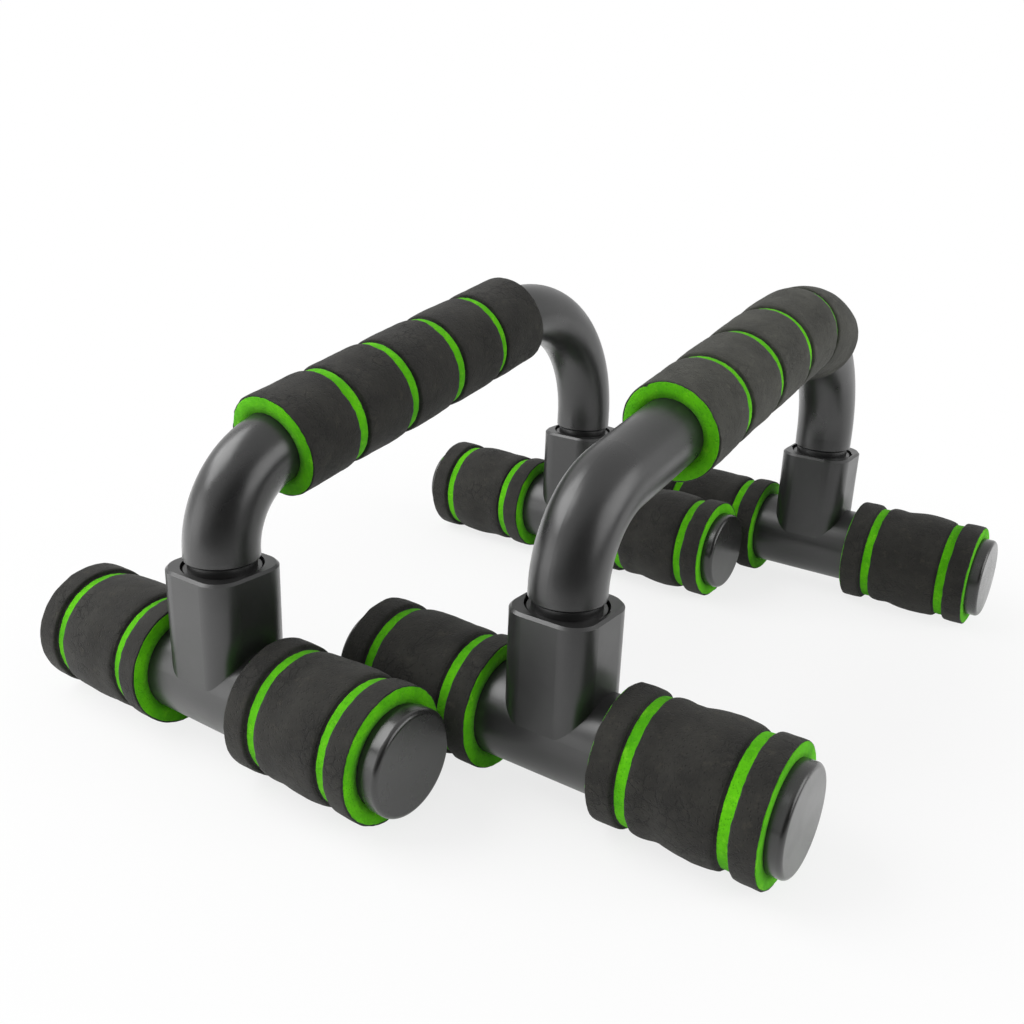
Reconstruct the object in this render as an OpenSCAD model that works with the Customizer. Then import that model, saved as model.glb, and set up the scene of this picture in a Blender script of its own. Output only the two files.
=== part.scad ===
/* [Pair] */
// Gap between the end caps of one bar and a foot of the other bar that is turned a quarter round
pair_turn_gap = 0.5; // [0.4:0.1:40]
// Gap between the foot sleeves of the two bars, where the left bar stands forward of the right one
pair_sleeve_gap = 1.2; // [1:0.2:12]

/* [Handle] */
// Distance between the axes of the two legs of one bar
leg_spacing = 224; // [205:1:250]
// Height of the handle's axis halfway between the legs
handle_h = 117.5; // [105:0.5:150]
// Climb of the handle towards the rear, in degrees
handle_slope = 11.3; // [9:0.1:12.5]
// Radius of the front bend, on the tube's axis
front_bend_r = 31; // [28:1:38]
// Radius of the rear bend, on the tube's axis
rear_bend_r = 54.5; // [40:0.5:64]
// Outside diameter of the tube
tube_d = 25; // [24:0.5:26]
// Wall of the tube
tube_wall = 1.8; // [1.4:0.1:2.2]
// Break on the outer edge of each tube end
tube_break = 0.8; // [0.4:0.1:1]
// Straight length of the tube below the lower of the two bends
leg_straight = 2.3; // [1.2:0.1:12]
// Height of the tube's end over the top of the foot's socket
tube_lift = 2.2; // [1.8:0.1:3]

/* [Spigot] */
// Diameter of the spigot that turns in the socket
spigot_d = 21.8; // [20:0.2:22.4]
// Wall of the spigot round its moulded hollow
spigot_wall = 2.6; // [2:0.1:4]
// Chamfer at the spigot's lower end
spigot_break = 1; // [0.5:0.1:1.5]
// Reach of the spigot below the top of the socket
spigot_reach = 27; // [24:1:30]
// Radius of the seat ring that lies in the socket's mouth
seat_r = 13; // [12.6:0.1:13.2]
// Thickness of the seat ring
seat_t = 1.5; // [1.2:0.1:1.8]
// Break on the edges of the seat ring
seat_break = 0.4; // [0.2:0.1:0.5]
// Diameter of the neck between the seat ring and the tube's end
neck_d = 22.6; // [22:0.2:23.4]
// Radius over the two lugs
lug_r = 13.6; // [13:0.1:13.8]
// Width of each lug as an angle
lug_angle = 28; // [20:1:32]
// Height of each lug
lug_h = 4; // [3:0.2:5]
// Depth of the lugs' top below the top of the socket
lug_depth = 6.4; // [6:0.2:8]
// Length of the plug that is pressed into the tube
plug_l = 12; // [10:1:13]
// Loss of radius at the plug's nose, so that it clears the bend
plug_draw = 1.6; // [1.4:0.1:2]

/* [Foot] */
// Width of the socket across its flats
socket_w = 31; // [30.6:0.2:33]
// Radius of the socket's four upright corners
socket_r = 9; // [8:0.5:10]
// Chamfer on the rim of the socket
socket_break = 0.9; // [0.5:0.1:1.2]
// Radius of the open mouth round the spigot's seat ring
mouth_r = 13.5; // [13.4:0.1:13.8]
// Depth of the mouth
mouth_depth = 2.6; // [2.2:0.1:3]
// Turn of a foot from its locked place to where the lugs come free, in degrees
lock_turn = 90; // [60:5:100]
// Diameter of the cross arm
arm_d = 32.8; // [31.6:0.2:33]
// Wall of the cross arm
arm_wall = 2.4; // [2:0.1:3]
// Length of the cross arm
arm_l = 153; // [144:0.5:162]
// Thickness of the solid middle of the cross arm
arm_web = 24; // [20:1:28]

/* [End cap] */
// Diameter of the cap's head
cap_d = 34.6; // [33.6:0.2:36]
// Thickness of the cap's head
cap_t = 5.2; // [4.6:0.2:9]
// Rounding of the head's outer edge
cap_round = 1.6; // [0.8:0.2:3]
// Length of the cap's plug
cap_plug_l = 14; // [10:1:18]
// Wall of the cap's plug
cap_plug_wall = 1.8; // [1.4:0.1:2.4]
// Width of the slots that let the plug spring
cap_slot = 3; // [2:0.2:4]

/* [Foot foam] */
// Length of a sleeve, from the end cap inwards
sleeve_l = 54; // [48:1:57]
// Length by which the left bar's front right sleeve falls short of its end cap
short_sleeve_gap = 2.8; // [0:0.2:6]
// Diameter of the green layer
sleeve_core_d = 42; // [40:0.2:43]
// Thickness of the black layer
sleeve_skin = 1.3; // [1.2:0.1:2]
// Length of the narrow band at each end
sleeve_end_band = 8.4; // [6:0.2:10]
// Width of a groove between two bands
sleeve_groove = 4.6; // [3:0.2:6]
// Draw-in at the middle of the wide band
sleeve_waist = 0.7; // [0.4:0.1:0.9]
// Rounding of the bands' edges
sleeve_round = 1; // [0.5:0.1:1.1]
// Depth of the flat that a sleeve rests on
rest_flat = 0.5; // [0.4:0.1:0.6]

/* [Hand grip] */
// Length of the grip along the tube
grip_l = 136; // [120:1:150]
// Diameter of the green layer
grip_core_d = 34.8; // [33:0.2:36]
// Thickness of the black layer
grip_skin = 1.3; // [1:0.1:1.6]
// Number of black bands
grip_bands = 5; // [3:1:6]
// Width of a groove between two bands
grip_groove = 2.8; // [2:0.2:4]
// Reach of the left grip past the straight, onto the front bend
left_grip_onto_bend = 1.5; // [0:0.5:12]
// Distance of the right grip's front end from the front bend
right_grip_from_bend = 36.5; // [20:0.5:40]

/* [Fits] */
// Loss of wall on each side of a tube or sleeve where it is bent
bend_thinning = 0.01; // [0.01:0.002:0.02]
// Lap of a bent run into the straight run that it joins
bend_lap = 0.4; // [0.2:0.1:0.5]
// Running clearance of the spigot in its socket, on the radius
run_gap = 0.08; // [0.04:0.01:0.1]
// Clearance over, under and round the lugs in their channel
lug_gap = 0.3; // [0.2:0.05:0.5]
// Clearance at each side of a lug in its slot and channel, as an angle
lug_turn_gap = 1.5; // [1:0.5:3]
// Clearance of the cap's plug in the arm, on the radius
plug_gap = 0.05; // [0.02:0.01:0.1]
// Gap under the spigot's end
end_gap = 0.6; // [0.4:0.1:1]

/* [Hidden] */
$fn = 96;
BARS = ["left", "right"];
ENDS = ["front", "rear"];
ARMS = ["left", "right"];

plastic_black = "#34353a";
tube_grey = "#3b3c3f";
foam_black = "#38363a";
foam_green = "#63b81f";

// Length that a cutting shape runs past the face that it cuts
overcut = 1;

tube_r = tube_d / 2;
tube_bore_r = tube_r - tube_wall;

// Where the two legs' axes meet the handle's axis, and the tangent lengths of the bends
front_corner_z = handle_h - tan(handle_slope) * leg_spacing / 2;
rear_corner_z = handle_h + tan(handle_slope) * leg_spacing / 2;
front_turn = 90 - handle_slope;
rear_turn = 90 + handle_slope;
front_tangent = front_bend_r * tan(front_turn / 2);
rear_tangent = rear_bend_r * tan(rear_turn / 2);
front_bend_z = front_corner_z - front_tangent;
rear_bend_z = rear_corner_z - rear_tangent;
straight_l = leg_spacing / cos(handle_slope) - front_tangent - rear_tangent;
straight_y = -leg_spacing / 2 + front_tangent * cos(handle_slope);
straight_z = front_corner_z + front_tangent * sin(handle_slope);

// Both legs end at the same height, below the lower bend, and the feet reach up to them
tube_end_z = min(front_bend_z, rear_bend_z) - leg_straight;
socket_top = tube_end_z - tube_lift;

sleeve_r = sleeve_core_d / 2 + sleeve_skin;
sleeve_x = arm_l / 2 - sleeve_l;
arm_z = sleeve_r - rest_flat;
arm_r = arm_d / 2;
arm_bore_r = arm_r - arm_wall;

// The bars stand so far apart, across and along, that each foot can turn past the other bar
pair_pitch = arm_l / 2 + cap_t + sleeve_r + pair_turn_gap;
pair_stagger = 2 * sleeve_r + pair_sleeve_gap;

socket_half = socket_w / 2;
mouth_floor_z = socket_top - mouth_depth;
lug_top_z = socket_top - lug_depth;
lug_bottom_z = lug_top_z - lug_h;
spigot_r = spigot_d / 2;
spigot_end_z = socket_top - spigot_reach;
seat_z = mouth_floor_z + lug_gap;
// The plug is drawn in from where the lower bend starts, or from half its own length
plug_draw_z = tube_end_z + min(leg_straight, plug_l / 2);
// The lugs lie fore and aft
LUGS = [90, 270];

grip_core_r = grip_core_d / 2;
grip_r = grip_core_r + grip_skin;
grip_band_l = (grip_l - (grip_bands - 1) * grip_groove) / grip_bands;

function sleeve_length(bar, end, arm) =
    bar == "left" && end == "front" && arm == "right" ? sleeve_l - short_sleeve_gap : sleeve_l;
function grip_start(bar) = bar == "left" ? -left_grip_onto_bend : right_grip_from_bend;
function bar_sign(bar) = bar == "left" ? -1 : 1;
function end_sign(end) = end == "front" ? -1 : 1;
function arm_turn(arm) = arm == "left" ? 180 : 0;

// Places a bar's pieces: the origin is on the floor, midway between the two bars
module on_bar(bar) {
    translate([bar_sign(bar) * pair_pitch / 2, bar_sign(bar) * pair_stagger / 2, 0]) children();
}

// Puts a foot's pieces under the front or the rear leg
module at_leg(end) {
    translate([0, end_sign(end) * leg_spacing / 2, 0]) children();
}

// Turns a piece drawn along +X from the arm's middle onto the left or the right arm
module on_arm(arm) {
    translate([0, 0, arm_z]) rotate([0, 0, arm_turn(arm)]) children();
}

// Turns what is drawn along +Z onto the +X axis
module along_x() {
    rotate([0, 90, 0]) children();
}

module ring_profile(r_out, r_in) {
    difference() {
        circle(r = r_out);
        if (r_in > 0) circle(r = r_in);
    }
}

// Rings round the handle's axis, between two distances along it. Distances run from the start of
// the sloping straight, so the front bend lies below zero. A bent run is thinned and lapped.
module front_bend_ring(from, to, r_out, r_in) {
    a_from = -to / front_bend_r * 180 / PI;
    a_to = -from / front_bend_r * 180 / PI;
    translate([0, -leg_spacing / 2 + front_bend_r, front_bend_z])
        rotate([90, 0, -90])
            rotate([0, 0, front_turn - a_to])
                rotate_extrude(angle = a_to - a_from)
                    translate([front_bend_r, 0]) ring_profile(r_out - bend_thinning, r_in + bend_thinning);
}

module straight_ring(from, to, r_out, r_in) {
    translate([0, straight_y, straight_z])
        rotate([-front_turn, 0, 0])
            translate([0, 0, from])
                linear_extrude(to - from) ring_profile(r_out, r_in);
}

module rear_bend_ring(from, to, r_out, r_in) {
    a_from = (from - straight_l) / rear_bend_r * 180 / PI;
    a_to = (to - straight_l) / rear_bend_r * 180 / PI;
    translate([0, leg_spacing / 2 - rear_bend_r, rear_bend_z])
        mirror([0, 1, 0])
            rotate([90, 0, -90])
                rotate([0, 0, rear_turn - a_to])
                    rotate_extrude(angle = a_to - a_from)
                        translate([rear_bend_r, 0]) ring_profile(r_out - bend_thinning, r_in + bend_thinning);
}

module handle_ring(from, to, r_out, r_in) {
    if (from < 0)
        front_bend_ring(from, to > 0 ? bend_lap : to, r_out, r_in);
    if (from < straight_l && to > 0)
        straight_ring(max(from, 0), min(to, straight_l), r_out, r_in);
    if (to > straight_l)
        rear_bend_ring(from < straight_l ? straight_l - bend_lap : from, to, r_out, r_in);
}

// Straight lower part of a leg, with the outer edge of its end broken
module leg_ring(top_z) {
    translate([0, 0, tube_end_z])
        rotate_extrude()
            polygon([
                [tube_bore_r, 0],
                [tube_r - tube_break, 0],
                [tube_r, tube_break],
                [tube_r, top_z - tube_end_z],
                [tube_bore_r, top_z - tube_end_z]
            ]);
}

// Bent handle tube, open at both lower ends
module handle_tube() {
    front_bend_l = front_turn * PI / 180 * front_bend_r;
    rear_bend_l = rear_turn * PI / 180 * rear_bend_r;
    color(tube_grey) union() {
        at_leg("front") leg_ring(front_bend_z);
        at_leg("rear") leg_ring(rear_bend_z);
        handle_ring(-front_bend_l - bend_lap, straight_l + rear_bend_l + bend_lap, tube_r, tube_bore_r);
    }
}

// Wedge from the axis outwards, centred on the angle at, spread wide to the radius r
module wedge(at, spread, r, h) {
    rotate([0, 0, at - spread / 2])
        rotate_extrude(angle = spread) square([r, h]);
}

// Spigot pressed into a leg's end: plug, neck, seat ring, turning shank and two lugs.
// Its axis is +Z and its heights are over the floor.
module spigot() {
    neck_r = neck_d / 2;
    color(plastic_black) difference() {
        union() {
            rotate_extrude()
                polygon([
                    [0, spigot_end_z],
                    [spigot_r - spigot_break, spigot_end_z],
                    [spigot_r, spigot_end_z + spigot_break],
                    [spigot_r, seat_z],
                    [seat_r - seat_break, seat_z],
                    [seat_r, seat_z + seat_break],
                    [seat_r, seat_z + seat_t - seat_break],
                    [seat_r - seat_break, seat_z + seat_t],
                    [neck_r, seat_z + seat_t],
                    [neck_r, tube_end_z],
                    [tube_bore_r, tube_end_z],
                    [tube_bore_r, plug_draw_z],
                    [tube_bore_r - plug_draw, tube_end_z + plug_l],
                    [0, tube_end_z + plug_l]
                ]);
            for (lug = LUGS)
                translate([0, 0, lug_bottom_z]) wedge(lug, lug_angle, lug_r, lug_h);
        }
        // Moulded hollow, open downwards
        translate([0, 0, spigot_end_z - overcut])
            cylinder(r = spigot_r - spigot_wall, h = mouth_floor_z - spigot_end_z + overcut);
    }
}

// Rounded square with chamfered top edges, standing on the arm's axis
module socket_body(h) {
    flat = socket_half - socket_r;
    for (x = [-flat, flat]) for (y = [-flat, flat]) translate([x, y, 0]) {
        cylinder(r = socket_r, h = h - socket_break);
        translate([0, 0, h - socket_break])
            cylinder(r1 = socket_r, r2 = socket_r - socket_break, h = socket_break);
    }
    for (turn = [0, 90])
        rotate([90, 0, turn])
            translate([0, 0, -flat])
                linear_extrude(2 * flat)
                    polygon([
                        [-socket_half, 0],
                        [socket_half, 0],
                        [socket_half, h - socket_break],
                        [socket_half - socket_break, h],
                        [-socket_half + socket_break, h],
                        [-socket_half, h - socket_break]
                    ]);
}

// Bore, mouth and bayonet channel of the socket, at heights over the floor
module socket_hollow() {
    bottom_z = spigot_end_z - end_gap;
    channel_r = lug_r + lug_gap;
    channel_z = lug_bottom_z - lug_gap;
    channel_h = lug_h + 2 * lug_gap;
    slot_angle = lug_angle + 2 * lug_turn_gap;
    translate([0, 0, bottom_z])
        cylinder(r = spigot_r + run_gap, h = socket_top - bottom_z + overcut);
    translate([0, 0, mouth_floor_z]) cylinder(r = mouth_r, h = mouth_depth + overcut);
    for (lug = LUGS) translate([0, 0, channel_z]) {
        // Way in for the lug, from the mouth down to the channel
        wedge(lug + lock_turn, slot_angle, channel_r, socket_top - channel_z + overcut);
        // Channel from the lug's locked place to the way in, stopped at both ends
        wedge(lug + lock_turn / 2, lock_turn + slot_angle, channel_r, channel_h);
    }
}

// Moulded foot: socket and cross arm in one, the arm's axis along X
module foot() {
    bore_l = (arm_l - arm_web) / 2;
    color(plastic_black) difference() {
        union() {
            translate([-arm_l / 2, 0, arm_z]) along_x() cylinder(r = arm_r, h = arm_l);
            translate([0, 0, arm_z]) socket_body(socket_top - arm_z);
        }
        socket_hollow();
        for (arm = ARMS) on_arm(arm)
            translate([arm_web / 2, 0, 0]) along_x() cylinder(r = arm_bore_r, h = bore_l + overcut);
    }
}

// Half outline of the cap's head: a flat disc with a rounded edge
module cap_head_profile() {
    face_r = cap_d / 2 - cap_round;
    edge_z = cap_t - cap_round;
    square([cap_d / 2, edge_z]);
    square([face_r, cap_t]);
    intersection() {
        translate([face_r, edge_z]) circle(r = cap_round);
        translate([face_r, edge_z]) square(cap_round);
    }
}

// Cap plugged into the end of an arm, with a slotted plug that springs into the arm's bore
module cap() {
    plug_r = arm_bore_r - plug_gap;
    color(plastic_black) translate([arm_l / 2, 0, 0]) along_x() {
        rotate_extrude() cap_head_profile();
        translate([0, 0, -cap_plug_l]) difference() {
            cylinder(r = plug_r, h = cap_plug_l);
            translate([0, 0, -overcut])
                cylinder(r = plug_r - cap_plug_wall, h = cap_plug_l + overcut);
            for (turn = [0, 90]) rotate([0, 0, turn])
                translate([-cap_slot / 2, -plug_r - overcut, -overcut])
                    cube([cap_slot, 2 * (plug_r + overcut), cap_plug_l - cap_plug_wall + overcut]);
        }
    }
}

// Cuts the flat on which a sleeve rests
module rest_cut() {
    difference() {
        children();
        translate([sleeve_x - overcut, -sleeve_r, -sleeve_r - overcut])
            cube([sleeve_l + 2 * overcut, 2 * sleeve_r, rest_flat + overcut]);
    }
}

// Green layer of a foot's sleeve of the length l
module sleeve_core(l) {
    color(foam_green) translate([sleeve_x, 0, 0]) along_x()
        linear_extrude(l) ring_profile(sleeve_core_d / 2, arm_r);
}

// Outline of one band: straight ends with rounded corners, and a waist of the given depth
module band_profile(l, r_in, skin, waist) {
    r_out = r_in + skin;
    waist_l = l - 2 * sleeve_round;
    waist_r = waist > 0 ? (waist_l * waist_l / 4 + waist * waist) / (2 * waist) : 0;
    difference() {
        intersection() {
            translate([r_in, 0]) square([skin, l]);
            union() {
                translate([r_in, 0]) square([skin - sleeve_round, l]);
                translate([r_in, sleeve_round]) square([skin, waist_l]);
                for (y = [sleeve_round, l - sleeve_round])
                    translate([r_out - sleeve_round, y]) circle(r = sleeve_round);
            }
        }
        if (waist > 0)
            translate([r_out - waist + waist_r, l / 2]) circle(r = waist_r, $fn = 720);
    }
}

// Black layer of a foot's sleeve of the length l: narrow, wide and narrow band
module sleeve_bands(l) {
    wide_start = sleeve_end_band + sleeve_groove;
    starts = [0, wide_start, l - sleeve_end_band];
    lengths = [sleeve_end_band, l - 2 * wide_start, sleeve_end_band];
    waists = [0, sleeve_waist, 0];
    color(foam_black) rest_cut() translate([sleeve_x, 0, 0]) along_x()
        for (i = [0 : 2])
            translate([0, 0, starts[i]])
                rotate_extrude() band_profile(lengths[i], sleeve_core_d / 2, sleeve_skin, waists[i]);
}

// Green layer of the hand grip
module grip_core(bar) {
    start = grip_start(bar);
    color(foam_green) union() handle_ring(start, start + grip_l, grip_core_r, tube_r);
}

// Black layer of the hand grip, cut into bands
module grip_band_set(bar) {
    pitch = grip_band_l + grip_groove;
    color(foam_black)
        for (i = [0 : grip_bands - 1]) {
            start = grip_start(bar) + i * pitch;
            union() handle_ring(start, start + grip_band_l, grip_r, grip_core_r);
        }
}

module on_foot(bar, end) {
    on_bar(bar) at_leg(end) children();
}

for (bar = BARS) {
    on_bar(bar) handle_tube();
    on_bar(bar) grip_core(bar);
    on_bar(bar) grip_band_set(bar);
    for (end = ENDS) {
        foot_name = str(bar, "_", end);
        on_foot(bar, end) spigot();
        on_foot(bar, end) foot();
        for (arm = ARMS) {
            arm_name = str(foot_name, "_", arm);
            arm_sleeve_l = sleeve_length(bar, end, arm);
            on_foot(bar, end) on_arm(arm) sleeve_core(arm_sleeve_l);
            on_foot(bar, end) on_arm(arm) sleeve_bands(arm_sleeve_l);
            on_foot(bar, end) on_arm(arm) cap();
        }
    }
}
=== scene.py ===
import math

import bmesh
import bpy
from mathutils import Matrix, Vector, noise


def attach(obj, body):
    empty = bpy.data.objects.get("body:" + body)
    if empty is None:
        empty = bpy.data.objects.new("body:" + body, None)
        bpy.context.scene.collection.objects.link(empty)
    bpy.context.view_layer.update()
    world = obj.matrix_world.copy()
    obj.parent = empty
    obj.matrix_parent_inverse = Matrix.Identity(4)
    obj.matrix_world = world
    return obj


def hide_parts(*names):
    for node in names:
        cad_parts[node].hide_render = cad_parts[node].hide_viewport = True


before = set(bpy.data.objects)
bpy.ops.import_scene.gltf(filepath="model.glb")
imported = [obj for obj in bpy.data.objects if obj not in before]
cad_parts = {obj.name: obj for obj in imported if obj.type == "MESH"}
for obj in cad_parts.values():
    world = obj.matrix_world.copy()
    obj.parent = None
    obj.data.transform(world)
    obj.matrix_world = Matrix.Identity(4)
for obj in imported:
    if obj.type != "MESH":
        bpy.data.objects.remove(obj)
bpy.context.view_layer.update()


# Camera. It stands about 0.45 m from the pair, in front of the right bar and a little to its right.
# It looks down on the feet by twenty degrees, and it is tipped slightly to one side.
MM = 0.001
CAMERA_PLACE = Vector((205.99, -343.91, 200.36)) * MM
CAMERA_AZIMUTH, CAMERA_ELEVATION, CAMERA_TIP = map(math.radians, (34.58, 19.62, 2.07))
CAMERA_LENS = 37.13

back = Vector((math.sin(CAMERA_AZIMUTH) * math.cos(CAMERA_ELEVATION),
               -math.cos(CAMERA_AZIMUTH) * math.cos(CAMERA_ELEVATION), math.sin(CAMERA_ELEVATION)))
level = (-back).cross(Vector((0, 0, 1))).normalized()
upright = level.cross(-back)
across = level * math.cos(CAMERA_TIP) + upright * math.sin(CAMERA_TIP)
up = upright * math.cos(CAMERA_TIP) - level * math.sin(CAMERA_TIP)
camera = bpy.data.objects.new("camera", bpy.data.cameras.new("camera"))
camera.data.lens = CAMERA_LENS
camera.data.clip_start, camera.data.clip_end = 0.01, 20
camera.matrix_world = Matrix.Translation(CAMERA_PLACE) @ Matrix((across, up, back)).transposed().to_4x4()
bpy.context.scene.collection.objects.link(camera)
bpy.context.scene.camera = camera


# Moulded black plastic. The feet, spigots and end caps are polypropylene moulded in a fine
# spark-eroded tool, which gives a satin surface with soft, slightly broken highlights.
def colour(hex_value):
    """An sRGB hex colour as linear RGBA."""
    srgb = [int(hex_value[i:i + 2], 16) / 255 for i in (1, 3, 5)]
    return [c / 12.92 if c <= 0.04045 else ((c + 0.055) / 1.055) ** 2.4 for c in srgb] + [1.0]


def add_node(tree, kind, settings=(), inputs=(), links=()):
    """Adds a node. Links name the socket that is fed and the node and output that feed it."""
    node = tree.nodes.new(kind)
    for name, value in dict(settings).items():
        setattr(node, name, value)
    for name, value in dict(inputs).items():
        node.inputs[name].default_value = value
    for name, (source, output) in dict(links).items():
        tree.links.new(source.outputs[output], node.inputs[name])
    return node


def new_material(name):
    """A material with a Principled shader, its node tree, and the shader."""
    material = bpy.data.materials.new(name)
    material.use_nodes = True
    tree = material.node_tree
    tree.nodes.clear()
    output = add_node(tree, "ShaderNodeOutputMaterial")
    shader = add_node(tree, "ShaderNodeBsdfPrincipled")
    tree.links.new(shader.outputs["BSDF"], output.inputs["Surface"])
    return material, tree, shader


# Gloss wanders over a centimetre or two, and rub marks are about two millimetres long
CLOUD_SIZE, RUB_SIZE = 16 * MM, 2.2 * MM
# Polypropylene and powder paint lie at 1.5 to 1.6
PLASTIC_IOR = 1.58


def satin_plastic(name, base, light, roughness, grain_mm, grain_depth_mm):
    """Moulded plastic: a fine even grain, a slow change of gloss, and faint lighter rub marks."""
    material, tree, shader = new_material(name)
    place = add_node(tree, "ShaderNodeTexCoord")
    at = {"Vector": (place, "Object")}
    # The tool's grain is about 0.1 mm and is drawn coarser, so that it shows
    grain = add_node(tree, "ShaderNodeTexNoise",
                     inputs={"Scale": 1 / (grain_mm * MM), "Detail": 3, "Roughness": 0.6}, links=at)
    bump = add_node(tree, "ShaderNodeBump", inputs={"Strength": 0.5, "Distance": grain_depth_mm * MM},
                    links={"Height": (grain, "Fac")})
    cloud = add_node(tree, "ShaderNodeTexNoise",
                     inputs={"Scale": 1 / CLOUD_SIZE, "Detail": 4, "Roughness": 0.55}, links=at)
    gloss = add_node(tree, "ShaderNodeMapRange",
                     inputs={"From Min": 0.3, "From Max": 0.7,
                             "To Min": roughness - 0.05, "To Max": roughness + 0.06},
                     links={"Value": (cloud, "Fac")})
    rub = add_node(tree, "ShaderNodeTexNoise",
                   inputs={"Scale": 1 / RUB_SIZE, "Detail": 6, "Roughness": 0.7}, links=at)
    rub_mask = add_node(tree, "ShaderNodeMapRange", inputs={"From Min": 0.55, "From Max": 0.85, "To Max": 0.6},
                        links={"Value": (rub, "Fac")})
    tint = add_node(tree, "ShaderNodeMix", {"data_type": "RGBA"}, links={"Factor": (rub_mask, "Result")})
    tint.inputs["A"].default_value = colour(base)
    tint.inputs["B"].default_value = colour(light)
    tree.links.new(tint.outputs["Result"], shader.inputs["Base Color"])
    tree.links.new(gloss.outputs["Result"], shader.inputs["Roughness"])
    tree.links.new(bump.outputs["Normal"], shader.inputs["Normal"])
    shader.inputs["IOR"].default_value = PLASTIC_IOR
    return material


def dress(names, material):
    """Gives CAD nodes a material and leaves their meshes alone."""
    for name in names:
        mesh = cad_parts[name].data
        mesh.materials.clear()
        mesh.materials.append(material)


FEET = [f"{bar}_{end}" for bar in ("left", "right") for end in ("front", "rear")]
polypropylene = satin_plastic("spark_grained_black_polypropylene", "#202020", "#2b2b2a",
                              roughness=0.33, grain_mm=0.45, grain_depth_mm=0.03)
dress([f"{foot}_foot" for foot in FEET], polypropylene)
dress([f"{foot}_spigot" for foot in FEET], polypropylene)

# The end caps come from a polished tool and are a little glossier
cap_plastic = satin_plastic("smooth_black_polypropylene", "#1f1f1e", "#272726",
                            roughness=0.25, grain_mm=0.7, grain_depth_mm=0.008)
dress([f"{foot}_{arm}_cap" for foot in FEET for arm in ("left", "right")], cap_plastic)


# Handle tubes. Each is a steel tube, bent twice and powder coated in satin dark grey, which
# leaves a very fine orange peel and wide, soft highlights on the bends.
tube_coat = satin_plastic("satin_dark_grey_powder_coat", "#202020", "#2b2b2a",
                          roughness=0.31, grain_mm=1.1, grain_depth_mm=0.03)
dress(["left_handle_tube", "right_handle_tube"], tube_coat)


# Foam of the sleeves and grips. It is closed-cell rubber foam in two layers, black over bright
# green; the black is cut away in rings, which shows the green below with its open cut cells.
MOTTLE_SIZE, SCUFF_SIZE, FINE_GRAIN = 11 * MM, 4 * MM, 0.9 * MM
CREASE_CELL, CREASED_PATCH, CREASE_WANDER = 3.6 * MM, 17 * MM, 4 * MM


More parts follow.
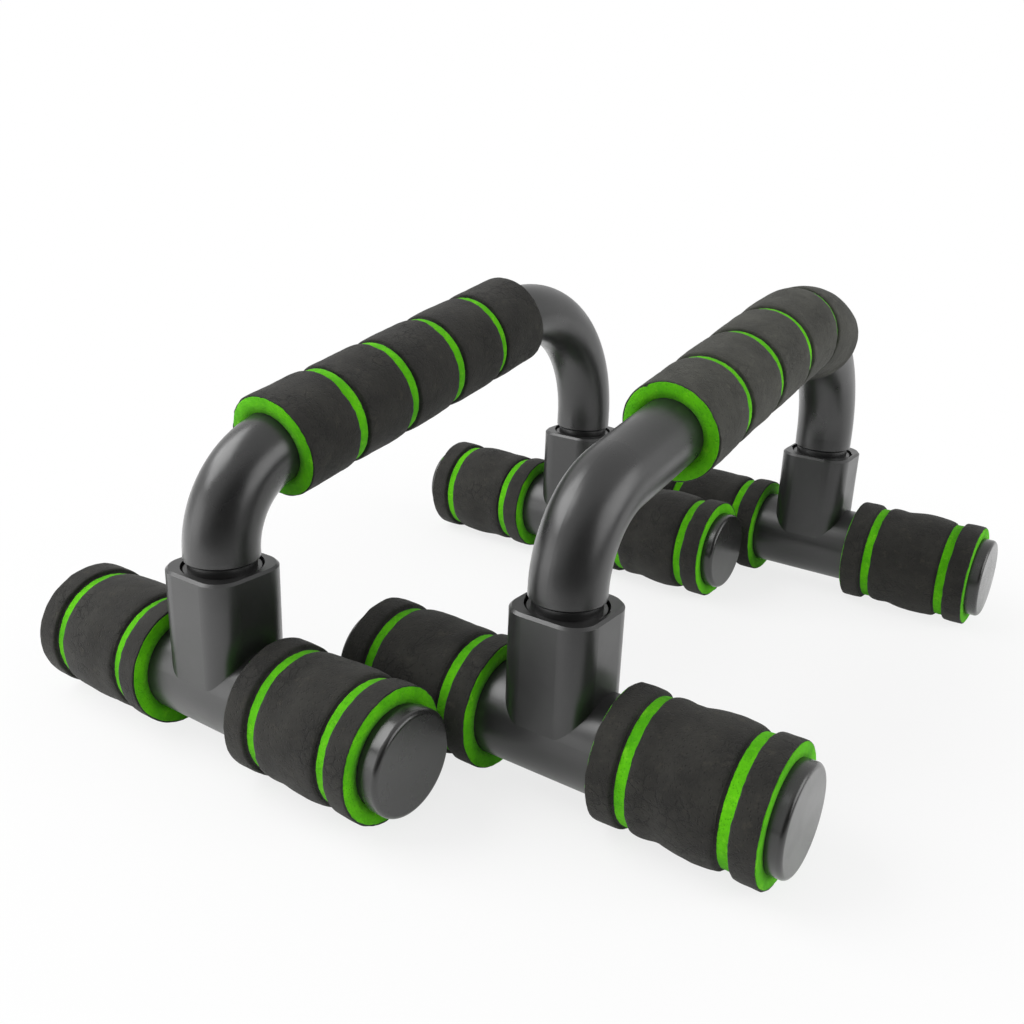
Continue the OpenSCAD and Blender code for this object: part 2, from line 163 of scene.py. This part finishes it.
def foam(name, base, dark, light, pore_mm, depth_mm, crease, gloss):
    """Foam: slow mottling, pores, pale scuffs, and in patches fine creases; pores and creases are painted
    darker as painted shade.
    """
    material, tree, shader = new_material(name)
    place = add_node(tree, "ShaderNodeTexCoord")
    at = {"Vector": (place, "Object")}
    mottle = add_node(tree, "ShaderNodeTexNoise",
                      inputs={"Scale": 1 / MOTTLE_SIZE, "Detail": 5, "Roughness": 0.65}, links=at)
    shade = add_node(tree, "ShaderNodeMapRange", inputs={"From Min": 0.34, "From Max": 0.66},
                     links={"Value": (mottle, "Fac")})
    tone = add_node(tree, "ShaderNodeMix", {"data_type": "RGBA"}, links={"Factor": (shade, "Result")})
    tone.inputs["A"].default_value = colour(dark)
    tone.inputs["B"].default_value = colour(base)
    # Rubbed places are paler: broad ones, broken up by the foam's own grain
    scuffs = add_node(tree, "ShaderNodeTexNoise",
                      inputs={"Scale": 1 / SCUFF_SIZE, "Detail": 9, "Roughness": 0.72}, links=at)
    scuff = add_node(tree, "ShaderNodeMapRange", inputs={"From Min": 0.56, "From Max": 0.76, "To Max": 0.75},
                     links={"Value": (scuffs, "Fac")})
    worn = add_node(tree, "ShaderNodeMix", {"data_type": "RGBA"},
                    links={"Factor": (scuff, "Result"), "A": (tone, "Result")})
    worn.inputs["B"].default_value = colour(light)
    # Pores are about 0.3 mm across and are drawn coarser, so that they show
    pores = add_node(tree, "ShaderNodeTexVoronoi",
                     inputs={"Scale": 1 / (pore_mm * MM), "Randomness": 1.0}, links=at)
    pore = add_node(tree, "ShaderNodeMapRange",
                    inputs={"From Min": 0.12, "From Max": 0.32, "To Min": 1.0, "To Max": 0.0},
                    links={"Value": (pores, "Distance")})
    # Creases come where the foam has been bent and pressed; they run along the edges of cells
    bent = add_node(tree, "ShaderNodeVectorMath", {"operation": "MULTIPLY_ADD"},
                    {1: (CREASE_WANDER, CREASE_WANDER, CREASE_WANDER)},
                    {0: (scuffs, "Color"), 2: (place, "Object")})
    cells = add_node(tree, "ShaderNodeTexVoronoi", {"feature": "DISTANCE_TO_EDGE"},
                     {"Scale": 1 / CREASE_CELL}, {"Vector": (bent, "Vector")})
    line = add_node(tree, "ShaderNodeMapRange",
                    inputs={"From Min": 0.0, "From Max": 0.09, "To Min": 1.0, "To Max": 0.0},
                    links={"Value": (cells, "Distance")})
    region = add_node(tree, "ShaderNodeTexNoise", inputs={"Scale": 1 / CREASED_PATCH, "Detail": 2}, links=at)
    where = add_node(tree, "ShaderNodeMapRange",
                     inputs={"From Min": 0.50, "From Max": 0.62, "To Max": crease},
                     links={"Value": (region, "Fac")})
    creases = add_node(tree, "ShaderNodeMath", {"operation": "MULTIPLY"},
                       links={0: (line, "Result"), 1: (where, "Result")})
    hollow_and_shade = add_node(tree, "ShaderNodeMath", {"operation": "MAXIMUM"}, links={0: (creases, "Value")})
    pitted = add_node(tree, "ShaderNodeMath", {"operation": "MULTIPLY"}, {1: 0.7}, {0: (pore, "Result")})
    tree.links.new(pitted.outputs["Value"], hollow_and_shade.inputs[1])
    # Pores and creases are painted in the dark colour: painted shade in these hollows
    shade_in_hollows = add_node(tree, "ShaderNodeMix", {"data_type": "RGBA"},
                     links={"Factor": (hollow_and_shade, "Value"), "A": (worn, "Result")})
    shade_in_hollows.inputs["B"].default_value = colour(dark)
    tree.links.new(shade_in_hollows.outputs["Result"], shader.inputs["Base Color"])
    fine = add_node(tree, "ShaderNodeTexNoise",
                    inputs={"Scale": 1 / FINE_GRAIN, "Detail": 5, "Roughness": 0.75}, links=at)
    grain = add_node(tree, "ShaderNodeBump", inputs={"Strength": 0.8, "Distance": depth_mm * MM},
                     links={"Height": (fine, "Fac")})
    pits = add_node(tree, "ShaderNodeBump", {"invert": True}, {"Strength": 0.9, "Distance": depth_mm * MM},
                    {"Height": (hollow_and_shade, "Value"), "Normal": (grain, "Normal")})
    tree.links.new(pits.outputs["Normal"], shader.inputs["Normal"])
    # Foam is matt, with the faintest bloom of a cut or rubbed cell edge
    shader.inputs["Roughness"].default_value = 0.82
    shader.inputs["Specular IOR Level"].default_value = gloss
    shader.inputs["Sheen Weight"].default_value = 0.04
    shader.inputs["Sheen Roughness"].default_value = 0.6
    return material


black_foam = foam("black_closed_cell_foam_skin", "#2a2925", "#191815", "#423f36",
                  pore_mm=1.1, depth_mm=0.26, crease=1.0, gloss=0.35)
# The right grip's foam is painted paler: a painted highlight for the sheen of light on it
grip_foam_painted_paler = foam("black_foam_painted_paler_for_sheen", "#40403a", "#2e2e29", "#58584e",
                   pore_mm=1.1, depth_mm=0.26, crease=0.6, gloss=0.35)
green_foam = foam("green_closed_cell_foam_cut", "#62c802", "#4aa602", "#8bdd2a",
                  pore_mm=0.9, depth_mm=0.20, crease=0.25, gloss=0.15)


# Foot sleeves. Each is a foam tube pushed over half of a foot's cross arm up to the end cap. Its
# black layer is left as a narrow, a wide and a narrow band, and it rests on the floor.
PAIR_PITCH, PAIR_STAGGER, LEG_SPACING = 104.5 * MM, 45.8 * MM, 224 * MM
ARM_R, ARM_Z, ARM_HALF = 16.4 * MM, 21.8 * MM, 76.5 * MM
SLEEVE_L, SLEEVE_CORE_R, SKIN = 54 * MM, 21 * MM, 1.3 * MM
END_BAND_L, GROOVE_L = 8.4 * MM, 4.6 * MM
SLEEVE_START = ARM_HALF - SLEEVE_L
# How far the wide band is drawn in and let out; it is strongest where the foam was pushed on askew
WAVE = {"right_front_right": 1.0, "right_rear_right": 0.9, "right_front_left": 0.45, "left_front_left": 0.3,
        "left_front_right": 0.3, "left_rear_left": 0.4, "left_rear_right": 0.6, "right_rear_left": 0.4}
SHORT_SLEEVE = {"left_front_right": 2.8 * MM}

# At the cut ends the green flares out under the black, which ends a little short of the cut
FLARE, FLARE_L, FLARE_ROUND, RIM_SHORT = 0.8 * MM, 2.4 * MM, 0.15 * MM, 0.25 * MM
BORE_GAP = 0.02 * MM
# The knife went deeper along one edge of each cut. A low foot of black foam is laid in that deep edge as
# painted shade, standing for the dark shade line there
DIP, DIP_SHARE, FLOOR_STEPS = 0.75 * MM, 0.13, 12
SHADE_FOOT, SHADE_FOOT_DROP, LAP = 0.9 * MM, 0.3 * MM, 1.2 * MM
SLEEVE_FLOOR_RISE = -0.3 * MM
# Edges of the bands: sharp where they were cut together with the green, else worn round
SHARP, WORN, WIDE_WORN = 0.25 * MM, 0.7 * MM, 0.8 * MM
EDGE_DROP, SHARP_EDGE_DROP, EDGE_REACH = 0.35 * MM, 0.08 * MM, 1.4 * MM
TOP_STEP, TURN_STEPS = 0.9 * MM, 160


def ring_of(outline):
    """Spins a closed outline, given as places along X and radii, a full turn round X."""
    mesh = bmesh.new()
    points = [mesh.verts.new((x, 0, r)) for x, r in outline]
    edges = [mesh.edges.new((points[i - 1], points[i])) for i in range(len(points))]
    bmesh.ops.spin(mesh, geom=points + edges, cent=(0, 0, 0), axis=(1, 0, 0), angle=2 * math.pi,
                   steps=TURN_STEPS, use_merge=True, use_normal_flip=False, use_duplicate=False)
    bmesh.ops.remove_doubles(mesh, verts=mesh.verts, dist=1e-6)
    bmesh.ops.recalc_face_normals(mesh, faces=mesh.faces)
    return mesh


def cut_floor(start, stop, r_core, rise, deep_at_start):
    """Green floor of a cut in the black. The knife went deeper along one edge."""
    points = []
    for i in range(FLOOR_STEPS + 1):
        t = i / FLOOR_STEPS
        from_edge = t if deep_at_start else 1 - t
        dip = DIP * math.exp(-(from_edge / DIP_SHARE) ** 2)
        points.append((start + (stop - start) * t, r_core + rise * math.sin(math.pi * t) ** 0.5 - dip))
    return points


def cut_end(at, inward, r_bore, r_core):
    """Flat cut end of the green layer, from the bore out. It flares, and leaves the black a thin rim."""
    return [(at, r_bore + BORE_GAP), (at, (r_bore + r_core) / 2), (at, r_core + FLARE - FLARE_ROUND),
            (at + inward * FLARE_ROUND, r_core + FLARE), (at + inward * FLARE_L, r_core)]


def green_sleeve(stop, deep_at_start):
    """Outline of the green layer of a foot sleeve, with the floors of its two cuts."""
    outline = cut_end(SLEEVE_START, 1, ARM_R, SLEEVE_CORE_R)
    for at in (SLEEVE_START + END_BAND_L, stop - END_BAND_L - GROOVE_L):
        outline += cut_floor(at, at + GROOVE_L, SLEEVE_CORE_R, SLEEVE_FLOOR_RISE, deep_at_start)
    return outline + cut_end(stop, -1, ARM_R, SLEEVE_CORE_R)[::-1]


def roughen(mesh, seed, r_from, depth):
    """Leaves shallow knife marks and torn cells on a cut face."""
    shift, mark_size = Vector((seed, 0, 0)), 1.6 * MM
    for v in mesh.verts:
        r = math.hypot(v.co.y, v.co.z)
        if r > r_from:
            v.co += Vector((0, v.co.y, v.co.z)) / r * depth * (noise.noise(v.co / mark_size + shift) - 0.5)


def band_outline(start, stop, r_core, start_round, stop_round, start_shade_foot, stop_shade_foot):
    """Half section of one black band: its rounded edges, its top, and a low black foot at a cut's deep edge,
    which is painted shade.
    """
    r_out, shade_foot_r = r_core + SKIN, r_core - SHADE_FOOT_DROP
    corner = [math.radians(a) for a in (0, 22.5, 45, 67.5, 90)]
    rise = [(start + start_round * (1 - math.sin(a)), r_out - start_round * (1 - math.cos(a)))
            for a in reversed(corner)]
    fall = [(stop - stop_round * (1 - math.sin(a)), r_out - stop_round * (1 - math.cos(a))) for a in corner]
    flat_l = stop - start - start_round - stop_round
    count = max(1, round(flat_l / TOP_STEP))
    flat = [(start + start_round + flat_l * i / count, r_out) for i in range(1, count)]
    before, after = [(start - start_shade_foot, r_core - LAP)], [(stop + stop_shade_foot, r_core - LAP)]
    if start_shade_foot:
        before += [(start - start_shade_foot, shade_foot_r), (start, shade_foot_r)]
    if stop_shade_foot:
        after = [(stop, shade_foot_r), (stop + stop_shade_foot, shade_foot_r)] + after
    return before + rise + flat + fall + after


def wide_band_swell(start, stop, wave):
    """The wide band is drawn in near its inner end, bulges past its middle, and drops at both edges."""
    drop, drop_reach, sink = 0.7 * MM, 2.2 * MM, 0.15 * MM
    waist, waist_at, waist_share = 0.95 * MM, 0.27, 0.15
    bulge, bulge_at, bulge_share = 0.35 * MM, 0.68, 0.2

    def swell(x):
        t = (x - start) / (stop - start)
        edges = -drop * math.exp(-min(x - start, stop - x) / drop_reach)
        drawn_in = -waist * wave * math.exp(-((t - waist_at) / waist_share) ** 2)
        let_out = bulge * wave * math.exp(-((t - bulge_at) / bulge_share) ** 2)
        return edges + drawn_in + let_out - sink
    return swell


def narrow_band_swell(start, stop, start_drop, stop_drop):
    """A narrow band is lower at its edges, though less where it was cut together with the green."""
    def swell(x):
        return -start_drop * math.exp((start - x) / EDGE_REACH) - stop_drop * math.exp((x - stop) / EDGE_REACH)
    return swell


def wander(mesh, seed, swell, r_core, dent_depth, edge):
    """Moves a foam surface in and out, and its cut edges to and fro, as hand-cut foam has it."""
    shift = Vector((seed, 0, 0))
    dent_size, pit_size, pit_depth = 14 * MM, 3 * MM, 0.10 * MM
    nick_size, small_nick_size, small_nick_share = 6 * MM, 2 * MM, 0.6
    core_margin, thinnest = 0.1 * MM, 0.25 * MM
    for v in mesh.verts:
        r = math.hypot(v.co.y, v.co.z)
        if r < r_core + core_margin:
            continue
        out = Vector((0, v.co.y, v.co.z)) / r
        dent = (dent_depth * noise.noise(v.co / dent_size + shift)
                + pit_depth * noise.noise(v.co / pit_size + shift))
        nick = (edge * noise.noise(v.co / nick_size - shift)
                + small_nick_share * edge * noise.noise(v.co / small_nick_size - shift))
        v.co += out * max(swell(v.co.x) + dent, r_core + thinnest - r)
        v.co.x += nick


def join_bands(bands):
    black = bmesh.new()
    for band in bands:
        part = bpy.data.meshes.new("part")
        band.to_mesh(part)
        band.free()
        black.from_mesh(part)
        bpy.data.meshes.remove(part)
    return black


def finish_piece(mesh, name, material, node, body, place):
    """Puts a foam piece in its place, flattens it on the floor and lets it ride in the node's stead."""
    bmesh.ops.transform(mesh, matrix=place, verts=mesh.verts)
    for v in mesh.verts:
        v.co.z = max(v.co.z, 0)
    data = bpy.data.meshes.new(name)
    mesh.to_mesh(data)
    mesh.free()
    data.shade_smooth()
    data.materials.append(material)
    piece = bpy.data.objects.new(name, data)
    bpy.context.scene.collection.objects.link(piece)
    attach(piece, body)
    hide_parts(node)


sleeve_number = 0
for bar, bar_side in (("left", -1), ("right", 1)):
    for end, end_side in (("front", -1), ("rear", 1)):
        for arm, turn in (("left", math.pi), ("right", 0)):
            sleeve_number += 1
            seed = 17.3 * sleeve_number
            stem, body = f"{bar}_{end}_{arm}", f"{bar}_{end}_base"
            place = Matrix.Translation((bar_side * PAIR_PITCH / 2,
                                        bar_side * PAIR_STAGGER / 2 + end_side * LEG_SPACING / 2, ARM_Z))
            place = place @ Matrix.Rotation(turn, 4, "Z")
            stop = ARM_HALF - SHORT_SLEEVE.get(stem, 0)
            green = ring_of(green_sleeve(stop, arm == "right"))
            roughen(green, seed, r_from=SLEEVE_CORE_R - 0.6 * MM, depth=0.16 * MM)
            finish_piece(green, f"{stem}_sleeve_green", green_foam, f"{stem}_core", body, place)

            # Ends of the inner, the wide and the outer band
            inner_start, inner_stop = SLEEVE_START + RIM_SHORT, SLEEVE_START + END_BAND_L
            outer_start, outer_stop = stop - END_BAND_L, stop - RIM_SHORT
            wide_start, wide_stop = inner_stop + GROOVE_L, outer_start - GROOVE_L
            # At a cut's deep edge a band gets a low black foot: painted shade
            start_shade_foot, stop_shade_foot = (0, SHADE_FOOT) if arm == "right" else (SHADE_FOOT, 0)
            inner = ring_of(band_outline(inner_start, inner_stop, SLEEVE_CORE_R, SHARP, WORN, 0, stop_shade_foot))
            wander(inner, seed, narrow_band_swell(inner_start, inner_stop, SHARP_EDGE_DROP, EDGE_DROP),
                   SLEEVE_CORE_R, dent_depth=0.35 * MM, edge=0.3 * MM)
            wide = ring_of(band_outline(wide_start, wide_stop, SLEEVE_CORE_R, WIDE_WORN, WIDE_WORN,
                                        start_shade_foot, stop_shade_foot))
            wander(wide, seed + 3, wide_band_swell(wide_start, wide_stop, WAVE[stem]),
                   SLEEVE_CORE_R, dent_depth=0.5 * MM, edge=0.3 * MM)
            outer = ring_of(band_outline(outer_start, outer_stop, SLEEVE_CORE_R, WORN, SHARP, start_shade_foot, 0))
            wander(outer, seed + 6, narrow_band_swell(outer_start, outer_stop, EDGE_DROP, SHARP_EDGE_DROP),
                   SLEEVE_CORE_R, dent_depth=0.35 * MM, edge=0.3 * MM)
            finish_piece(join_bands([inner, wide, outer]), f"{stem}_sleeve_black", black_foam,
                         f"{stem}_bands", body, place)


# Hand grips. Each is a longer foam tube of the same two layers pushed over the handle, with four
# narrow rings cut out of the black. The right one has been pushed up onto the rear bend.
HANDLE_H, HANDLE_SLOPE = 117.5 * MM, math.radians(11.3)
FRONT_BEND_R, REAR_BEND_R, TUBE_R = 31 * MM, 54.5 * MM, 12.5 * MM
GRIP_L, GRIP_CORE_R, GRIP_BANDS, GRIP_GROOVE = 136 * MM, 17.4 * MM, 5, 2.8 * MM
GRIP_START = {"left": -1.5 * MM, "right": 36.5 * MM}
GRIP_WORN, GRIP_FLOOR_RISE = 0.6 * MM, 0.35 * MM
# Widths of the rings in millimetres. They close up where the grip was pushed along, most on the right bar.
RING_WIDTHS_MM = {"left": (5.2, 5.0, 4.8, 4.0), "right": (4.2, 4.4, 3.6, 2.2)}
# The right grip takes the paler foam, painted for the sheen of light on it
GRIP_FOAM = {"left": black_foam, "right": grip_foam_painted_paler}
# The grip bends, so its outline has points all along the bands and the bore
BAND_STEPS, BORE_STEPS = 12, 60

front_tangent = FRONT_BEND_R * math.tan((math.pi / 2 - HANDLE_SLOPE) / 2)
rear_tangent = REAR_BEND_R * math.tan((math.pi / 2 + HANDLE_SLOPE) / 2)
straight_l = LEG_SPACING / math.cos(HANDLE_SLOPE) - front_tangent - rear_tangent
straight_start = Vector((
    0, -LEG_SPACING / 2 + front_tangent * math.cos(HANDLE_SLOPE),
    HANDLE_H - math.tan(HANDLE_SLOPE) * LEG_SPACING / 2 + front_tangent * math.sin(HANDLE_SLOPE)))


def along_handle(s):
    """Point on the handle's axis at a distance from the front bend, and the axis's direction there."""
    ahead = Vector((0, math.cos(HANDLE_SLOPE), math.sin(HANDLE_SLOPE)))
    above = Vector((0, -math.sin(HANDLE_SLOPE), math.cos(HANDLE_SLOPE)))
    if s < 0:
        a = -s / FRONT_BEND_R
        return (straight_start - ahead * FRONT_BEND_R * math.sin(a) - above * FRONT_BEND_R * (1 - math.cos(a)),
                ahead * math.cos(a) + above * math.sin(a))
    if s > straight_l:
        a = (s - straight_l) / REAR_BEND_R
        corner = straight_start + ahead * straight_l
        return (corner + ahead * REAR_BEND_R * math.sin(a) - above * REAR_BEND_R * (1 - math.cos(a)),
                ahead * math.cos(a) - above * math.sin(a))
    return straight_start + ahead * s, ahead


def lay_on_handle(mesh):
    """Bends a sleeve that lies along X onto the handle's axis."""
    for v in mesh.verts:
        point, ahead = along_handle(v.co.x)
        above = Vector((0, -ahead.z, ahead.y))
        v.co = point + Vector((1, 0, 0)) * v.co.y + above * v.co.z


band_l = (GRIP_L - (GRIP_BANDS - 1) * GRIP_GROOVE) / GRIP_BANDS
for bar, bar_side in (("left", -1), ("right", 1)):
    start = GRIP_START[bar]
    stop = start + GRIP_L
    place = Matrix.Translation((bar_side * PAIR_PITCH / 2, bar_side * PAIR_STAGGER / 2, 0))
    outline = cut_end(start, 1, TUBE_R, GRIP_CORE_R)
    for i in range(GRIP_BANDS):
        band_start = start + i * (band_l + GRIP_GROOVE)
        outline += [(band_start + band_l * t / BAND_STEPS, GRIP_CORE_R) for t in range(2, BAND_STEPS - 1)]
        if i < GRIP_BANDS - 1:
            spread = (RING_WIDTHS_MM[bar][i] * MM - GRIP_GROOVE) / 2
            outline += cut_floor(band_start + band_l - spread, band_start + band_l + GRIP_GROOVE + spread,
                                 GRIP_CORE_R, GRIP_FLOOR_RISE, deep_at_start=False)
    outline += cut_end(stop, -1, TUBE_R, GRIP_CORE_R)[::-1]
    outline += [(stop - GRIP_L * t / BORE_STEPS, TUBE_R + BORE_GAP) for t in range(1, BORE_STEPS)]
    green = ring_of(outline)
    roughen(green, bar_side * 7, r_from=GRIP_CORE_R - 0.5 * MM, depth=0.12 * MM)
    lay_on_handle(green)
    finish_piece(green, f"{bar}_grip_green", green_foam, f"{bar}_grip_core", f"{bar}_handle",
                 place)

    bands = []
    for i in range(GRIP_BANDS):
        band_start = start + i * (band_l + GRIP_GROOVE)
        band_stop = band_start + band_l
        if i > 0:
            band_start -= (GRIP_GROOVE - RING_WIDTHS_MM[bar][i - 1] * MM) / 2
        if i < GRIP_BANDS - 1:
            band_stop += (GRIP_GROOVE - RING_WIDTHS_MM[bar][i] * MM) / 2
        start_round, stop_round, start_drop, stop_drop = GRIP_WORN, GRIP_WORN, EDGE_DROP, EDGE_DROP
        if i == 0:
            band_start, start_round, start_drop = band_start + RIM_SHORT, SHARP, SHARP_EDGE_DROP
        if i == GRIP_BANDS - 1:
            band_stop, stop_round, stop_drop = band_stop - RIM_SHORT, SHARP, SHARP_EDGE_DROP
        # Bands after the first get a low black foot at their cut edge: painted shade
        band = ring_of(band_outline(band_start, band_stop, GRIP_CORE_R, start_round, stop_round,
                                    SHADE_FOOT if i > 0 else 0, 0))
        wander(band, bar_side * 40 + i * 9.1, narrow_band_swell(band_start, band_stop, start_drop, stop_drop),
               GRIP_CORE_R, dent_depth=0.4 * MM, edge=0.45 * MM)
        lay_on_handle(band)
        bands.append(band)
    finish_piece(join_bands(bands), f"{bar}_grip_black", GRIP_FOAM[bar], f"{bar}_grip_bands",
                 f"{bar}_handle", place)


# Studio. A white table that keeps the shadows, a white backdrop behind the pair, a large soft lamp high
# at the left and weaker ones at the right and low at the front left, for the streaks on the tubes.
DARK_WAY, LAMP_WAY = (0.82, -0.57, 0.0), (-0.4, -0.9, 0.0)
PAPER_WHITE, PAPER_PAINTED_SHADE = colour("#f0f0f0"), colour("#202020")
WHITE = (1, 1, 1, 1)

floor = bpy.data.objects.new("floor", bpy.data.meshes.new("floor"))
sheet = bmesh.new()
bmesh.ops.create_grid(sheet, x_segments=1, y_segments=1, size=6)
sheet.to_mesh(floor.data)
sheet.free()
bpy.context.scene.collection.objects.link(floor)
paper, tree, shader = new_material("white_paper_sweep")
shader.inputs["Roughness"].default_value = 0.9
shader.inputs["Specular IOR Level"].default_value = 0.1
rays = add_node(tree, "ShaderNodeLightPath")
place = add_node(tree, "ShaderNodeTexCoord")

# To the camera the sheet is white, and keeps a faint shadow up to a third of a metre out
far = add_node(tree, "ShaderNodeVectorMath", {"operation": "LENGTH"}, links={0: (place, "Object")})
fade = add_node(tree, "ShaderNodeMapRange", {"interpolation_type": "SMOOTHSTEP"},
                {"From Min": 0.10, "From Max": 0.34, "To Min": 0.78, "To Max": 1.0}, {"Value": (far, "Value")})
seen = add_node(tree, "ShaderNodeMath", {"operation": "MULTIPLY"},
                links={0: (fade, "Result"), 1: (rays, "Is Camera Ray")})

# In what the plastic mirrors, the sheet is painted dark at the front right: painted shade for the room there
# that nothing lights
sweep = add_node(tree, "ShaderNodeVectorMath", {"operation": "DOT_PRODUCT"}, {1: DARK_WAY},
                 {0: (place, "Object")})
painted_shade_front_right = add_node(tree, "ShaderNodeMapRange", {"interpolation_type": "SMOOTHSTEP"},
                {"From Min": 0.12, "From Max": 0.50}, {"Value": (sweep, "Value")})
painted_shade_in_reflections = add_node(tree, "ShaderNodeMath", {"operation": "MULTIPLY"},
                         links={0: (rays, "Is Glossy Ray"), 1: (painted_shade_front_right, "Result")})
sheet_colour = add_node(tree, "ShaderNodeMix", {"data_type": "RGBA"},
                        links={"Factor": (painted_shade_in_reflections, "Value")})
sheet_colour.inputs["A"].default_value = PAPER_WHITE
sheet_colour.inputs["B"].default_value = PAPER_PAINTED_SHADE
tree.links.new(sheet_colour.outputs["Result"], shader.inputs["Base Color"])

# In what the plastic mirrors, the sheet also glows, most at the front left where the lamps stand: painted
# light on the sheet
glow = add_node(tree, "ShaderNodeMath", {"operation": "SUBTRACT"},
                links={0: (rays, "Is Glossy Ray"), 1: (painted_shade_in_reflections, "Value")})
near_lamp = add_node(tree, "ShaderNodeVectorMath", {"operation": "DOT_PRODUCT"}, {1: LAMP_WAY},
                     {0: (place, "Object")})
lamp_glow = add_node(tree, "ShaderNodeMapRange", {"interpolation_type": "SMOOTHSTEP"},
                     {"From Min": 0.13, "From Max": 0.24, "To Min": 0.5, "To Max": 0.8},
                     {"Value": (near_lamp, "Value")})
faint_glow = add_node(tree, "ShaderNodeMath", {"operation": "MULTIPLY"},
                      links={0: (glow, "Value"), 1: (lamp_glow, "Result")})
tree.links.new(faint_glow.outputs["Value"], shader.inputs["Emission Strength"])
shader.inputs["Emission Color"].default_value = WHITE
white = add_node(tree, "ShaderNodeEmission", inputs={"Color": WHITE, "Strength": 1.0})
mix = add_node(tree, "ShaderNodeMixShader",
               links={0: (seen, "Value"), 1: (shader, "BSDF"), 2: (white, "Emission")})
output = next(n for n in tree.nodes if n.type == "OUTPUT_MATERIAL")
tree.links.new(mix.outputs["Shader"], output.inputs["Surface"])
floor.data.materials.append(paper)

# The backdrop is white to the camera, dim as a light, and in reflections dark at the front right
world = bpy.data.worlds.new("studio")
bpy.context.scene.world = world
world.use_nodes = True
sky = world.node_tree
sky.nodes.clear()
rays = add_node(sky, "ShaderNodeLightPath")
way = add_node(sky, "ShaderNodeTexCoord")
dark_side = add_node(sky, "ShaderNodeVectorMath", {"operation": "DOT_PRODUCT"}, {1: DARK_WAY},
                     {0: (way, "Generated")})
backdrop = add_node(sky, "ShaderNodeMapRange", {"interpolation_type": "SMOOTHSTEP"},
                    {"From Min": 0.40, "From Max": 0.93, "To Min": 0.92, "To Max": 0.03},
                    {"Value": (dark_side, "Value")})
seen = add_node(sky, "ShaderNodeBackground", inputs={"Color": WHITE, "Strength": 1.0})
lit = add_node(sky, "ShaderNodeBackground", inputs={"Color": WHITE, "Strength": 0.45})
mirrored = add_node(sky, "ShaderNodeBackground", inputs={"Color": WHITE},
                    links={"Strength": (backdrop, "Result")})
glossy = add_node(sky, "ShaderNodeMixShader",
                  links={0: (rays, "Is Glossy Ray"), 1: (lit, 0), 2: (mirrored, 0)})
mix = add_node(sky, "ShaderNodeMixShader", links={0: (rays, "Is Camera Ray"), 1: (glossy, 0), 2: (seen, 0)})
add_node(sky, "ShaderNodeOutputWorld", links={"Surface": (mix, 0)})


def softbox(name, place, size, power):
    """A rectangular soft lamp that faces the middle of the pair. Sizes are in metres, power in watts."""
    lamp = bpy.data.lights.new(name, "AREA")
    lamp.shape, lamp.size, lamp.size_y, lamp.energy = "RECTANGLE", size[0], size[1], power
    box = bpy.data.objects.new(name, lamp)
    box.location = place
    middle = Vector((0, 0, 0.06))
    box.rotation_euler = (middle - Vector(place)).to_track_quat("-Z", "Y").to_euler()
    bpy.context.scene.collection.objects.link(box)


softbox("softbox_left", (-0.75, -0.47, 0.95), (0.95, 0.75), 11)
softbox("softbox_right", (1.12, 0.24, 0.48), (1.00, 0.70), 6.5)
softbox("softbox_front", (-0.72, -0.98, 0.26), (0.80, 0.50), 2.4)

bpy.context.scene.view_settings.view_transform = "Standard"
